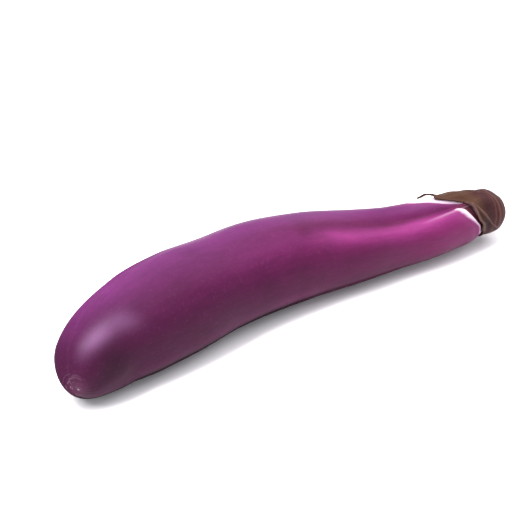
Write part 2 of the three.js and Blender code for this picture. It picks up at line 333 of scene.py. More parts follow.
def surface(name, rows, facing):
    """Closed mesh over rings of points (rings, columns, 3), in mm.

    The first and the last ring are single points given as whole rings; they
    are welded to one vertex each. facing is 1 or -1 and turns the faces.
    """
    rings, columns = rows.shape[0] - 2, rows.shape[1]
    points = np.concatenate([rows[0, :1], rows[1:-1].reshape(-1, 3), rows[-1, :1]]) * MM
    i = np.arange(rings - 1)[:, None] * columns + 1
    j = np.arange(columns)[None, :]
    k = (j + 1) % columns
    quads = np.stack([i + j, i + k, i + columns + k, i + columns + j], -1).reshape(-1, 4)
    last = len(points) - 1
    rim = 1 + (rings - 1) * columns
    j, k = j.ravel(), k.ravel()
    head = np.stack([np.zeros_like(j), 1 + k, 1 + j], -1)
    tail = np.stack([np.full_like(j, last), rim + j, rim + k], -1)
    faces = [*head[:, ::facing].tolist(), *quads[:, ::facing].tolist()]
    faces += tail[:, ::facing].tolist()
    mesh = bpy.data.meshes.new(name)
    mesh.from_pydata(points.tolist(), [], faces)
    mesh.polygons.foreach_set("use_smooth", np.ones(len(mesh.polygons), bool))
    mesh.update()
    return place_in_scene(name, mesh)


def paint(piece, name, values):
    """Keeps a number for each vertex, for the materials; values are (rings, columns)."""
    flat = np.concatenate([values[0, :1], values[1:-1].ravel(), values[-1, :1]])
    layer = piece.data.attributes.new(name, "FLOAT", "POINT")
    layer.data.foreach_set("value", flat.astype(np.float32))


def paint_vectors(piece, name, values):
    """Keeps a vector for each vertex; values are (rings, columns, 3)."""
    flat = np.concatenate([values[0, :1], values[1:-1].reshape(-1, 3), values[-1, :1]])
    layer = piece.data.attributes.new(name, "FLOAT_VECTOR", "POINT")
    layer.data.foreach_set("vector", flat.ravel().astype(np.float32))


# ---- material helpers ---------------------------------------------------

class Finish:
    """A node material under construction, with short calls for its nodes."""

    def __init__(self, name):
        self.material = bpy.data.materials.new(name)
        self.material.use_nodes = True
        self.tree = self.material.node_tree
        self.shader = self.tree.nodes["Principled BSDF"]

    def new(self, kind, **settings):
        node = self.tree.nodes.new(kind)
        for key, value in settings.items():
            setattr(node, key, value)
        return node

    def feed(self, socket, value):
        """Links another node's output to the socket, or sets a plain value there."""
        if isinstance(value, bpy.types.NodeSocket):
            self.tree.links.new(value, socket)
        else:
            socket.default_value = value

    def dress(self, name, value):
        """Feeds an input of the surface itself."""
        self.feed(self.shader.inputs[name], value)

    def read(self, name, vector=False):
        """A mark painted on the piece."""
        node = self.new("ShaderNodeAttribute", attribute_name=name)
        return node.outputs["Vector" if vector else "Fac"]

    def place(self):
        return self.new("ShaderNodeTexCoord").outputs["Object"]

    def noise(self, vector, scale, detail, roughness=0.5):
        node = self.new("ShaderNodeTexNoise")
        self.feed(node.inputs["Vector"], vector)
        node.inputs["Scale"].default_value = scale
        node.inputs["Detail"].default_value = detail
        node.inputs["Roughness"].default_value = roughness
        return node.outputs["Fac"]

    def math(self, operation, a, b):
        node = self.new("ShaderNodeMath", operation=operation)
        for socket, value in zip(node.inputs, (a, b)):
            self.feed(socket, value)
        return node.outputs[0]

    def span(self, value, source, target=(0.0, 1.0)):
        """value carried from the source span to the target span in an even S."""
        node = self.new("ShaderNodeMapRange", interpolation_type="SMOOTHSTEP")
        for socket, number in zip(node.inputs[:5], (value, *source, *target)):
            self.feed(socket, number)
        return node.outputs[0]

    def ramp(self, value, stops):
        """Colours at places between 0 and 1, mixed evenly between them."""
        node = self.new("ShaderNodeValToRGB")
        self.feed(node.inputs[0], value)
        bar = node.color_ramp.elements
        while len(bar) < len(stops):
            bar.new(0.5)
        for element, (at, shade) in zip(bar, stops):
            element.position = at
            element.color = (*shade, 1)
        return node.outputs[0]

    def mix(self, share, a, b, blend="MIX"):
        node = self.new("ShaderNodeMix", data_type="RGBA", blend_type=blend)
        self.feed(node.inputs[0], share)
        for socket, shade in ((node.inputs[6], a), (node.inputs[7], b)):
            linked = isinstance(shade, bpy.types.NodeSocket)
            self.feed(socket, shade if linked else (*shade, 1))
        return node.outputs[2]

    def bump(self, height, strength, distance, normal=None):
        """Relief in the shading only; distance is in metres."""
        node = self.new("ShaderNodeBump")
        node.inputs["Strength"].default_value = strength
        node.inputs["Distance"].default_value = distance
        self.feed(node.inputs["Height"], height)
        if normal is not None:
            self.feed(node.inputs["Normal"], normal)
        return node.outputs["Normal"]


def grey(value):
    """A neutral colour."""
    return (value, value, value)


# ---- sizes and colours that a user would change -------------------------

def length(name, words, value):
    """A setting in mm."""
    return FloatProperty(name=name, description=words, default=value, min=0.0)


def color(name, words, value):
    """A colour setting, linear red, green and blue."""
    return FloatVectorProperty(
        name=name, description=words, default=value, subtype="COLOR", size=3, min=0.0, max=1.0
    )


class FruitSettings(bpy.types.PropertyGroup):
    """Shape and skin colours of the fruit."""

    groove_depth: length("Groove depth", "Depth of the neck groove in mm", 3.0)
    blossom: color("Blossom end", "Skin at the blossom end", (0.043, 0.0060, 0.0265))
    belly: color("Belly", "Skin over the belly", (0.066, 0.0066, 0.0385))
    neck: color("Neck", "Skin of the neck", (0.150, 0.0130, 0.0800))
    # Violet top side: partly the skin's own colour, partly a painted sheen of the bright sky
    sunny_and_sheen: color("Sunny side", "Skin that faced the sun", (0.112, 0.0150, 0.095))
    # Painted light along the shoulder's crest, where it faces the top light
    lit_shoulder: color("Shoulder", "Shoulder beside the groove", (0.235, 0.028, 0.150))
    # Painted shade in the groove
    groove_shade: color("Groove", "Skin in the groove", (0.082, 0.0055, 0.045))
    speckle: color("Speckles", "Fine pale speckles", (0.36, 0.13, 0.27))
    blush: color("Blush", "Skin near the calyx", (0.190, 0.034, 0.120))
    # Also the colour of the painted highlight line along the shoulder's crest
    bleached: color("Bleached skin", "Pale skin along the calyx", (0.62, 0.46, 0.58))
    # Painted shade in the pocket under the calyx's edge
    shaded_pocket: color("Pocket", "Skin in the pocket under the calyx", (0.050, 0.012, 0.018))
    # Painted shade where the groove runs under the calyx
    flush: color("Flush", "Skin where the groove meets the calyx", (0.130, 0.024, 0.052))
    # Painted highlight streak on the blossom end and a faint painted sheen along the top
    painted_highlight: color("Bloom", "Waxy bloom, most at the blossom end", (0.215, 0.098, 0.215))
    # Painted shade low on the sides and the painted contact line along the bottom
    foot: color("Foot", "Darkest skin, low on the sides", grey(0.006))
    halo: color("Scar halo", "Skin round the blossom scar", (0.095, 0.032, 0.062))
    cork: color("Scar", "Corky blossom scar", (0.26, 0.19, 0.25))
    rings: IntProperty(name="Rings", description="Rings of the mesh", default=360, min=60)
    columns: IntProperty(name="Columns", description="Points on a ring", default=240, min=24)


class CalyxSettings(bpy.types.PropertyGroup):
    """Thickness and colours of the calyx."""

    gap: length("Gap", "Clearance to the skin in mm", 0.45)
    lobe: length("Lobe thickness", "Thickness of the lobes in mm", 0.9)
    crown: length("Crown", "Extra thickness of the crown in mm", 2.3)
    olive: color("Olive", "Upper lobes", (0.062, 0.0260, 0.0150))
    maroon: color("Maroon", "Dome of the crown", (0.042, 0.0100, 0.0112))
    dots: color("Dots", "Fine dry dots", (0.05, 0.03, 0.024))
    # Also the painted shade in the hollow on the calyx's near side
    deep: color("Hollows", "Hollows and the dried tip", (0.029, 0.0092, 0.0080))
    # Also lights the fold, the creases and the near margins as a painted highlight
    dry: color("Dry edge", "Dried ridges and margins", (0.115, 0.060, 0.052))


class StalkSettings(bpy.types.PropertyGroup):
    """Size and colours of the stalk."""

    radius: length("Radius", "Radius of the stalk in mm", 3.3)
    hook: length("Hook", "Radius of its bend in mm", 5.0)
    straight: length("Straight", "Length past the bend in mm", 10.0)
    bark: color("Bark", "Skin of the stalk", (0.12, 0.079, 0.048))
    cut: color("Cut", "Cut face", (0.32, 0.25, 0.16))


class StageSettings(bpy.types.PropertyGroup):
    """Floor, lights and camera."""

    floor: color("Floor", "Pale floor", (0.86, 0.83, 0.86))
    sky: FloatProperty(name="Sky", description="Strength of the even light", default=1.08)
    top: FloatProperty(name="Top light", description="Power of the top light in W", default=14.5)
    left: FloatProperty(name="Left light", description="Power of the left light in W", default=4.0)
    lens: FloatProperty(
        name="Lens", description="Focal length", default=59.8, subtype="DISTANCE_CAMERA"
    )


# ---- the fruit ----------------------------------------------------------

def skin_finish(size):
    """Waxy purple skin: plum at the blossom end, violet above with a painted sky sheen, magenta on
    the neck.

    The marks painted on the skin mix the base colours, with painted light on
    the shoulder's crest and painted shade in the groove; clouds, streaks, speckles
    and a painted highlight are laid over them, then the pale skin at the calyx,
    painted shade in the pocket and low on the sides (the dark foot) and the scar
    with its flecks.
    """
    finish = Finish("eggplant skin")
    grain = finish.read("grain", vector=True)
    place = finish.place()

    tone = finish.ramp(finish.read("along"), [
        (0.05, size.blossom), (0.40, size.belly), (0.80, size.neck),
    ])
    # The top's violet, partly a painted sky sheen, then painted light on the shoulder's crest and
    # painted shade in the groove
    for mark, shade in (("sunny_and_sheen", size.sunny_and_sheen), ("lit_crest", size.lit_shoulder), ("groove_shade", size.groove_shade)):
        tone = finish.mix(finish.read(mark), tone, shade)

    cloud = finish.noise(place, scale=34.0, detail=3.0, roughness=0.55)
    tone = finish.mix(0.5, tone, finish.ramp(cloud, [
        (0.30, grey(0.66)), (0.52, grey(1.0)), (0.75, grey(1.0)),
    ]), "MULTIPLY")
    streak = finish.noise(grain, scale=9.0, detail=4.0, roughness=0.6)
    tone = finish.mix(0.45, tone, finish.ramp(streak, [
        (0.32, grey(0.72)), (0.60, grey(1.0)), (0.80, grey(1.0)),
    ]), "MULTIPLY")
    speckle = finish.noise(place, scale=620.0, detail=2.0, roughness=0.6)
    speckled = finish.span(speckle, (0.52, 0.85), (0.0, 0.05))
    tone = finish.mix(speckled, tone, size.speckle)
    # Painted highlight on the blossom end and painted sheen along the top
    tone = finish.mix(finish.read("painted_highlight"), tone, size.painted_highlight)

    ragged = finish.noise(grain, scale=14.0, detail=3.0, roughness=0.6)
    ragged = finish.math("MULTIPLY", finish.math("SUBTRACT", ragged, 0.5), 1.2)
    edge = finish.math("ADD", finish.read("white"), ragged)
    blush = finish.math("MULTIPLY", finish.span(edge, (0.0, 11.0), (1.0, 0.0)), 0.6)
    tone = finish.mix(blush, tone, size.blush)
    # Painted highlight: a thin pale line along the shoulder's crest near the calyx
    line = finish.math("MULTIPLY", finish.read("crest_highlight"), 0.25)
    tone = finish.mix(line, tone, size.bleached)
    pale = finish.span(edge, (-1.4, 1.6), (1.0, 0.0))
    pale = finish.math("MAXIMUM", finish.math("SUBTRACT", pale, finish.read("faded")), 0.0)
    tone = finish.mix(pale, tone, size.bleached)
    # Painted shade where the groove runs under the calyx
    tone = finish.mix(finish.read("flush"), tone, size.flush)
    # Painted shade in the pocket under the calyx's edge
    tone = finish.mix(finish.read("shaded_pocket"), tone, size.shaded_pocket)
    # Painted shade low on the sides, with a dark painted contact line along the bottom
    low_shade = finish.read("low_shade")
    tone = finish.mix(low_shade, tone, size.foot)

    ring = finish.math("MULTIPLY", finish.noise(place, scale=700.0, detail=2.0), 1.6)
    ring = finish.math("ADD", finish.read("scar"), ring)
    tone = finish.mix(finish.span(ring, (2.0, 8.0), (0.45, 0.0)), tone, size.halo)
    fleck = finish.noise(finish.read("fleck", vector=True), scale=1.0, detail=2.0)
    fleck = finish.math("MULTIPLY", finish.span(fleck, (0.52, 0.70)), finish.read("flecked"))
    tone = finish.mix(fleck, tone, size.cork)
    cork = finish.span(ring, (1.1, 1.7), (1.0, 0.0))
    tone = finish.mix(cork, tone, size.cork)
    finish.dress("Base Color", tone)

    dull = finish.noise(place, scale=90.0, detail=4.0, roughness=0.6)
    dull = finish.span(dull, (0.3, 0.75), (0.33, 0.42))
    dull = finish.math("MAXIMUM", dull, finish.math("MULTIPLY", cork, 0.8))
    dull = finish.math("MAXIMUM", dull, finish.span(low_shade, (0.45, 0.80), (0.3, 1.0)))
    dull = finish.math("MAXIMUM", dull, finish.read("matt"))
    finish.dress("Roughness", dull)
    finish.dress("Specular IOR Level", 0.06)

    lines = finish.noise(grain, scale=22.0, detail=3.0, roughness=0.55)
    fine = finish.noise(place, scale=900.0, detail=3.0, roughness=0.6)
    normal = finish.bump(lines, strength=0.22, distance=0.00035)
    normal = finish.bump(fine, strength=0.14, distance=0.00012, normal=normal)
    finish.dress("Normal", normal)
    return finish.material


def fruit_rings(size):
    """Distance on the centre line and shrink of each ring.

    Rings lie close together over both rounded ends, where the shrink is
    sin(turn) to a power and the distance cap * (1 - cos(turn)).
    """
    tip, end = int(size.rings * TIP_SHARE), int(size.rings * END_SHARE)
    turn = np.pi / 2 * np.linspace(0, 1, tip, endpoint=False) ** CROWDING
    tip_s, tip_shrink = TIP_CAP * (1 - np.cos(turn)), np.sin(turn) ** TIP_FULLNESS
    body = np.linspace(TIP_CAP, LENGTH - END_CAP, size.rings - tip - end)
    end_walk = END_CAP * np.pi / 2 * np.linspace(1, 0, end + 1)[1:] ** CROWDING
    end_s, end_shrink = end_place(end_walk)
    s = np.concatenate([tip_s, body, end_s])
    return s, np.concatenate([tip_shrink, np.ones_like(body), end_shrink])


class SkinGrid:
    """The skin's grid, with the distances and zones that its marks are made from."""

    def __init__(self, s, angle):
        self.s, self.angle = s, angle
        self.deg = np.degrees(wrap(angle))
        self.walk = LENGTH - s + END_EXTRA
        self.by_calyx = s > LENGTH - COLLAR_ZONE
        self.collar = np.where(self.by_calyx, self.walk - lobe_reach(angle), FAR)
        self.near = rise(self.deg, NEAR_GROWS) * (1 - rise(self.deg, NEAR_ENDS))
        self.past_lip = self.collar - curve(LIP[:, 0], LIP[:, 1], self.deg)
        # The pocket is dug into the skin and is also painted dark as shade
        dug = rise(self.collar, POCKET_GROWS) * (1 - rise(self.past_lip, POCKET_ENDS))
        self.shaded_pocket = self.near * dug
        crest = CREST + CREST_DROP * bump(s, CREST_DROPS) - CREST_RISE * rise(s, CREST_RISES)
        self.off_crest = self.deg - crest
        self.edge = rise(s, EDGE_GROWS) * rise(self.collar, EDGE_ENDS)

    def swell(self):
        """Height added to the relief: waves, lip, pocket, edge, lower side and waist."""
        s, deg = self.s, self.deg
        waves = 0.0
        for height, long, turns, long_2, turns_2, phase in SKIN_WAVES:
            wave = np.sin(s / long + turns * self.angle)
            waves += height * wave * np.sin(s / long_2 + turns_2 * self.angle + phase)
        waves *= rise(s, WAVES_GROW) * rise(self.collar, WAVES_END)
        lip = LIP_HEIGHT * self.near * bump(self.past_lip, LIP_PLACE)
        raised = EDGE_HEIGHT * bump(self.off_crest, EDGE_PLACE)
        edge = self.edge * (raised - EDGE_DEPTH * bump(self.off_crest, EDGE_FOOT))
        heavy = HEAVY_HEIGHT * bump(deg, HEAVY_ANGLE) * rise(s, HEAVY_GROWS)
        heavy = heavy * (1 - rise(s, HEAVY_ENDS))
        waist = WAIST_HEIGHT * bump(s, WAIST_PLACE) * bump(deg, WAIST_ANGLE)
        return waves + lip - POCKET_DEPTH * self.shaded_pocket + edge + heavy + waist

    def calyx_marks(self):
        """White skin by its distance past the white edge, its fading, and the painted shade in the
        pocket and at the groove's end.
        """
        deg, collar = self.deg, self.collar
        upper = rise(deg, (-62, -50)) * (1 - rise(deg, (13, 16)))
        trough = rise(deg, (13, 16)) * (1 - rise(deg, (24, 30)))
        white = collar - 1.8
        under_lobe = 0.6 * (self.walk - curve(PALE[:, 0], PALE[:, 1], deg))
        white += upper * (under_lobe - white)
        near_lip = self.past_lip - 3.4 + 1.7 * rise(deg, (48, 80))
        white += self.near * (near_lip - white) + 6 * trough
        # Painted shade at the mouth of the groove under the calyx
        mouth = 0.9 * bump(deg, (25, 4.5)) * (1 - rise(collar, (4, 8)))
        return {
            "white": np.where(self.by_calyx, white, FAR),
            "faded": 0.3 * self.near * rise(deg, (66, 92)),
            "shaded_pocket": np.maximum(self.shaded_pocket, mouth),
            # Painted shade where the groove runs under the calyx
            "flush": 0.75 * trough * (1 - rise(collar, (4, 17))),
        }

    def color_marks(self):
        """Shares of the violet top with a painted sky sheen, painted crest light, painted groove
        shade, painted crest line and painted highlight.
        """
        s, deg = self.s, self.deg
        # Painted light along the shoulder's crest, strongest on the neck
        grown = 0.12 * rise(s, (50, 110)) + 0.58 * rise(s, (126, 156))
        grown = grown + 0.20 * rise(s, (182, 208))
        width = np.where(self.off_crest > 0, 12.5 + 7 * rise(s, (165, 200)), 12.5)
        # Painted shade in the groove above the crest, and a small darker smudge where the groove
        # starts
        smudge = 0.5 * bump(s, (134, 4.5)) * bump(deg, (28, 8))
        late = rise(s, (200, 225))
        groove_shade = 0.9 * bump(self.off_crest, (-21 + 5 * late, 10)) * rise(s, (75, 165))
        # Painted highlight: a streak over the blossom end, and a faint sheen along the top
        streak = bump(s, (19, 7.5)) + 0.5 * bump(s, (31, 6))
        painted_highlight = 0.5 * bump(deg, (18 + 1.2 * (s - 17), 13)) * streak * rise(s, (3, 10))
        painted_highlight += 0.12 * bump(deg, (2, 13)) * (bump(s, (146, 24)) + 0.8 * bump(s, (214, 15)))
        return {
            "along": s / LENGTH,
            # Violet top side, partly a painted sky sheen
            "sunny_and_sheen": np.clip(1.15 * bump(deg, (-28, 46)) * rise(s, (2, 40)), 0, 1),
            "lit_crest": grown * bump(self.off_crest, (0, width)),
            "groove_shade": groove_shade * (1 - 0.4 * late) + smudge,
            # Painted highlight along the crest's edge
            "crest_highlight": self.edge * bump(self.off_crest, (0.5, 2.6)),
            "painted_highlight": painted_highlight,
        }

    def shade_marks(self):
        """Share of the painted shade low on both sides and on the blossom end's near side, and the
        matt far edge.

        The painted contact shadow runs along both sides, sharp under the belly and
        soft under the slim neck; above it the painted shade darkens the sides slowly.
        """
        s, deg = self.s, self.deg
        away = np.abs(deg)
        slim = rise(s, (120, 160))
        low = rise(away, (46, 74)) * (1 - (1 - slim) * rise(away, (99, 113)))
        # Painted shade on the lower sides
        shade = low * (0.19 + 0.19 * bump(s, (172, 38)) - 0.08 * rise(s, (198, 228)))
        shade += 0.12 * slim * rise(away, (98, 112))
        # Painted shade on the near side of the blossom end
        shade += 0.42 * bump(deg, (56, 22)) * bump(s, (13, 12))
        return {
            # Painted contact shadow: a dark line low along both sides
            "low_shade": shade + (0.80 - 0.60 * slim) * rise(away, (115, 125)),
            "matt": rise(deg, (-2, -30)) * (1 - rise(s, (45, 95))),
        }


def scar_height(gone, about):
    """Relief of the blossom scar by distance and angle: a rim, a pit and fine puckers."""
    pucker = PUCKER * np.cos(PUCKER_FOLDS * about) * rise(gone, PUCKER_GROWS)
    pit = SCAR_RIM * bump(gone, SCAR_RIM_PLACE) - SCAR_PIT * bump(gone, SCAR_PIT_PLACE)
    return pit + pucker * bump(gone, PUCKER_PLACE)


def build_fruit(size):
    """The skin: rings about the centre line, with groove, lip, pocket and scar.

    A point lies at (radius + relief + swell) * shrink from the centre line,
    and near the scar it is moved outwards by the scar's own height.
    """
    s, shrink = fruit_rings(size)
    angle = np.arange(size.columns) * 2 * np.pi / size.columns
    s, angle = np.meshgrid(s, angle, indexing="ij")
    shrink = np.broadcast_to(shrink[:, None], s.shape)
    grid = SkinGrid(s, angle)
    points = skin_points(s, shrink, angle, size, grid.swell())

    gone = np.linalg.norm(points - SCAR, axis=-1)
    about = np.arctan2(points[..., 1] - SCAR[1], points[..., 2] - SCAR[2])
    points = points + unit(points - SCAR_CORE) * scar_height(gone, about)[..., None]
    points[..., 2] = np.maximum(points[..., 2], 0.0)

    skin = surface("skin", points, 1)
    marks = {**grid.color_marks(), **grid.calyx_marks(), **grid.shade_marks()}
    marks["scar"] = gone
    marks["flecked"] = 0.4 * bump(wrap(about - 1.0), (0, 0.9)) * bump(gone, (4, 3.5))
    for name, values in marks.items():
        paint(skin, name, values)
    ringed = np.stack([1.5 * gone, 1.6 * np.cos(about), 1.6 * np.sin(about)], -1)
    paint_vectors(skin, "fleck", ringed)
    paint_vectors(skin, "grain", np.stack([s / 90.0, np.cos(angle), np.sin(angle)], -1))
    skin.data.materials.append(skin_finish(size))
    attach(skin, "root")
    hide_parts("fruit")
    return skin


# ---- the calyx ----------------------------------------------------------

# Points on a ring, rings of the outer face, of the rounded edge and of the inner face
CALYX_COLUMNS, CALYX_OUTER, CALYX_EDGE, CALYX_INNER = 480, 84, 7, 40

# The crown reaches this far and takes this share of the rings
CROWN_REACH, CROWN_SHARE = 13.0, 0.3

# Arch of the long lobe's dried tip: height, width, where it lifts and comes down
ARCH, ARCH_WIDTH, ARCH_LIFTS, ARCH_LANDS, ARCH_DROP = 1.5, 13, (43, 50), (52, 57), 0.8

# The near side of the calyx, where the fold runs, and the creases round its
# crown: place by walk, height of the relief, share of the dry colour, which
# partly stands for a painted highlight on them
FOLD_GROWS, FOLD_ENDS = (8, 22), (104, 122)
CREASE_HEIGHT, CREASE_DRY = 0.12, 0.75
CREASES = (((12.3, 0.6), 1.0), ((15.4, 0.8), 0.6), ((10.2, 0.7), 0.6))

THINNEST_FLESH, THINNEST_SHELL = 0.7, 0.55


def calyx_finish(size):
    """Leathery calyx: olive lobes, maroon dome, painted shade in the near hollow and over the
    dome's near side, dry ridges and margins partly lit by a painted highlight.
    """
    finish = Finish("calyx leather")
    grain = finish.read("grain", vector=True)
    place = finish.place()

    dome = finish.span(finish.read("walk"), (16.0, 30.0), (1.0, 0.0))
    blotch = finish.noise(place, scale=120.0, detail=4.0, roughness=0.6)
    uneven = finish.math("MULTIPLY", finish.math("SUBTRACT", blotch, 0.5), 0.9)
    dome = finish.span(finish.math("ADD", dome, uneven), (0.2, 0.8))
    tone = finish.mix(dome, size.olive, size.maroon)
    fibre = finish.noise(grain, scale=26.0, detail=4.0, roughness=0.65)
    tone = finish.mix(0.6, tone, finish.ramp(fibre, [
        (0.28, grey(0.55)), (0.50, grey(0.95)), (0.72, grey(1.0)),
    ]), "MULTIPLY")
    tone = finish.mix(finish.span(fibre, (0.58, 0.76), (0.0, 0.2)), tone, size.dry)
    dots = finish.noise(place, scale=900.0, detail=2.0, roughness=0.6)
    tone = finish.mix(finish.span(dots, (0.58, 0.72), (0.0, 0.45)), tone, size.dots)

    # Painted shade in the hollow between the fold and the edge on the near side
    valley_shade = finish.math("MULTIPLY", finish.read("valley_shade"), 0.9)
    tone = finish.mix(valley_shade, tone, size.deep)
    # Painted shade: the dome darkens over its near side
    tone = finish.mix(finish.read("dome_shade"), tone, grey(0.0))
    # Dry colour on the ridges and margins, partly a painted highlight on them; the dried thread in
    # its own colour
    for mark, shade in (("lit_dry_ridge", size.dry), ("lit_dry_margin", size.dry), ("thread", size.deep)):
        share = finish.math("MULTIPLY", finish.read(mark), 0.8)
        tone = finish.mix(share, tone, shade)
    finish.dress("Base Color", tone)
    dull = finish.span(blotch, (0.3, 0.7), (0.48, 0.65))
    finish.dress("Roughness", dull)
    finish.dress("Specular IOR Level", 0.08)

    wrinkle = finish.noise(grain, scale=40.0, detail=4.0, roughness=0.6)
    fine = finish.noise(place, scale=1300.0, detail=3.0, roughness=0.6)
    normal = finish.bump(wrinkle, strength=0.5, distance=0.0006)
    normal = finish.bump(fine, strength=0.3, distance=0.00015, normal=normal)
    finish.dress("Normal", normal)
    return finish.material


def lobe_lift(walk, angle):
    """The long lobe's dried tip arches off the skin and comes down again."""
    near = bump_about(angle, LONG_LOBE, ARCH_WIDTH)
    return ARCH * near * rise(walk, ARCH_LIFTS) * (1 - ARCH_DROP * rise(walk, ARCH_LANDS))


def near_side(angle):
    """1 over the near side of the calyx, where the fold runs."""
    deg = np.degrees(wrap(angle))
    return rise(deg, FOLD_GROWS) * (1 - rise(deg, FOLD_ENDS))


def past_fold(walk, angle):
    """Distance beyond the fold line, towards the calyx's edge."""
    return walk - curve(FOLD[:, 0], FOLD[:, 1], np.degrees(wrap(angle)))


def fold_height(walk, angle):
    """1 along the fold over the near side, falling off within a millimetre."""
    return bump(past_fold(walk, angle), (0, 0.7)) * near_side(angle)


def valley_depth(walk, angle):
    """1 in the hollow between the fold and the calyx's edge on the near side."""
    ahead = past_fold(walk, angle)
    share = ahead / np.maximum(ahead + lobe_reach(angle) - walk, 0.5)
    return rise(share, (0.05, 0.3)) * (1 - rise(share, (0.5, 0.9))) * near_side(angle)


def calyx_thickness(share, walk, angle, size):
    """Fleshy over the crown, less so below, thin along the lobes, dished for the stalk.

    The dried tip of the long lobe is a little thicker, and five blunt ribs
    run over the crown. share is walk over the lobe's own reach.
    """
    below = 0.42 * bump_about(angle, 140, 55) * rise(walk, (3, 8))
    flesh = size.lobe + size.crown * (1 - below) * (1 - rise(walk, (3, 26)))
    rib = 0.3 * np.cos(5 * (angle - np.radians(30))) * rise(walk, (3, 14))
    rib = rib * (1 - rise(walk, (20, 34)))
    socket = 1.1 * (1 - rise(walk, (5.4, 7.0)))
    tip = 0.35 * rise(walk, (49, 53))
    flesh = (flesh + rib) * (1 - 0.4 * rise(share, (0.6, 1))) - socket
    return np.maximum(flesh, THINNEST_FLESH) + tip


def calyx_relief(share, walk, angle):
    """Folds, creases round the crown, veins and a lip along the edge."""
    near = near_side(angle)
    veins = 0.07 * np.cos(23 * angle + 0.05 * walk * np.sin(3 * angle)) * rise(walk, (10, 18))
    veins += 0.04 * np.cos(41 * angle + 1.3) * rise(walk, (12, 20))
    veins *= (1 - rise(share, (0.90, 1.0))) * (1 - 0.7 * near)
    fold = 0.70 * fold_height(walk, angle) - 0.40 * valley_depth(walk, angle)
    lip = 0.30 * near * bump(walk - lobe_reach(angle), (-0.9, 0.8))
    crease = CREASE_HEIGHT * sum(bump(walk, place) for place, _ in CREASES)
    swell = 0.09 * np.sin(walk / 3.4 + 2 * angle) * np.sin(3 * angle + 0.4)
    swell = swell * rise(walk, (4, 10)) * (1 - rise(share, (0.8, 1)))
    return veins + fold + lip + crease + swell


def calyx_walks(share, reach):
    """Even steps over the crown, then equal shares of each lobe's own reach."""
    over = np.clip(share / CROWN_SHARE, 0, 1)[:, None] * CROWN_REACH
    past = np.clip((share - CROWN_SHARE) / (1 - CROWN_SHARE), 0, 1)[:, None]
    return over + past * (reach - CROWN_REACH)[None, :]


def paint_calyx(leather, walk, turn, reach, outside):
    """Marks of the calyx; outside is 1 on the outer face and 0 on the inner one."""
    near = near_side(turn)
    creases = sum(dry * bump(walk, place) for place, dry in CREASES)
    # The fold and the creases get the dry colour, partly as a painted highlight
    lit_dry_ridge = np.maximum(fold_height(walk, turn), CREASE_DRY * creases)
    # Painted shade over the middle of the dome's near side
    dome_shade = 0.35 * bump(walk, (21.5, 4.0)) * near * rise(np.degrees(wrap(turn)), (22, 45))
    thread = bump(wrap(turn - np.radians(LONG_LOBE)), (0, 0.1))
    marks = {
        "walk": walk,
        "lit_dry_ridge": lit_dry_ridge * outside,
        "lit_dry_margin": rise(walk - reach, (-1.1, -0.3)) * near * outside,
        # Painted shade in the hollow
        "valley_shade": valley_depth(walk, turn) * outside,
        "dome_shade": dome_shade * outside,
        "thread": rise(walk, (46, 50)) * thread,
    }
    for name, values in marks.items():
        paint(leather, name, values)
    paint_vectors(leather, "grain", np.stack([walk / 40.0, np.cos(turn), np.sin(turn)], -1))


def build_calyx(fruit, size):
    """A shell over the stalk end: outer face out to the lobes, inner face back.

    A point lies on the skin, walk mm from the pole, and is raised along the
    skin's outward direction by gap + arch + curl of the margin + thickness.
    """
    angle = np.arange(CALYX_COLUMNS) * 2 * np.pi / CALYX_COLUMNS
    crinkle = 0.35 * np.sin(17 * angle) * np.sin(5 * angle + 1) + 0.2 * np.sin(37 * angle + 2)
    reach = lobe_reach(angle) + crinkle * (1 - 0.8 * near_side(angle))

    outer = calyx_walks(np.linspace(0, 1, CALYX_OUTER), reach)
    inner = calyx_walks(np.linspace(1, 0, CALYX_INNER), reach)[1:]
    turn = np.broadcast_to(angle, outer.shape)
    share = outer / reach
    thick = calyx_thickness(share, outer, turn, size) + calyx_relief(share, outer, turn)
    thick = np.maximum(thick, THINNEST_SHELL)

    bend = np.linspace(0, np.pi / 2, CALYX_EDGE + 1)[1:, None]
    edge = np.broadcast_to(reach, (CALYX_EDGE, CALYX_COLUMNS)) + 0.3 * np.sin(bend)
    edge_thick = thick[-1][None, :] * 0.5 * (1 + np.cos(2 * bend))

    walk = np.concatenate([outer, edge, inner])
    turn = np.broadcast_to(angle, walk.shape)
    height = np.concatenate([thick, edge_thick, np.zeros_like(inner)])
    curl = 0.35 * (0.5 + 0.5 * np.sin(9 * turn + 0.7)) * rise(walk / reach, (0.86, 1.0))
    curl = curl * (1 - bump(wrap(turn - np.radians(LONG_LOBE)), (0, 0.3)))
    height = size.gap + lobe_lift(walk, turn) + curl + height
    points = end_points(walk, turn, fruit)
    points += end_normals(walk, turn, fruit) * height[..., None]

    leather = surface("calyx_leather", points, -1)
    outside = np.concatenate([np.ones(CALYX_OUTER + CALYX_EDGE), np.zeros(len(inner))])
    paint_calyx(leather, walk, turn, reach, np.broadcast_to(outside[:, None], walk.shape))
    leather.data.materials.append(calyx_finish(size))
    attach(leather, "root")
    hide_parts("calyx")
    return leather


# ---- the stalk ----------------------------------------------------------

# Points on a ring and rings of the stalk's side
STALK_COLUMNS, STALK_RINGS = 120, 110

# Clearance over the calyx, how far the stalk starts inside its socket, and how
# far it runs straight before it bends
STALK_GAP, STALK_SUNK, STALK_NECK = 0.35, 1.2, 0.8
HOOK_WAY = (0.05, 0.62, -0.78)

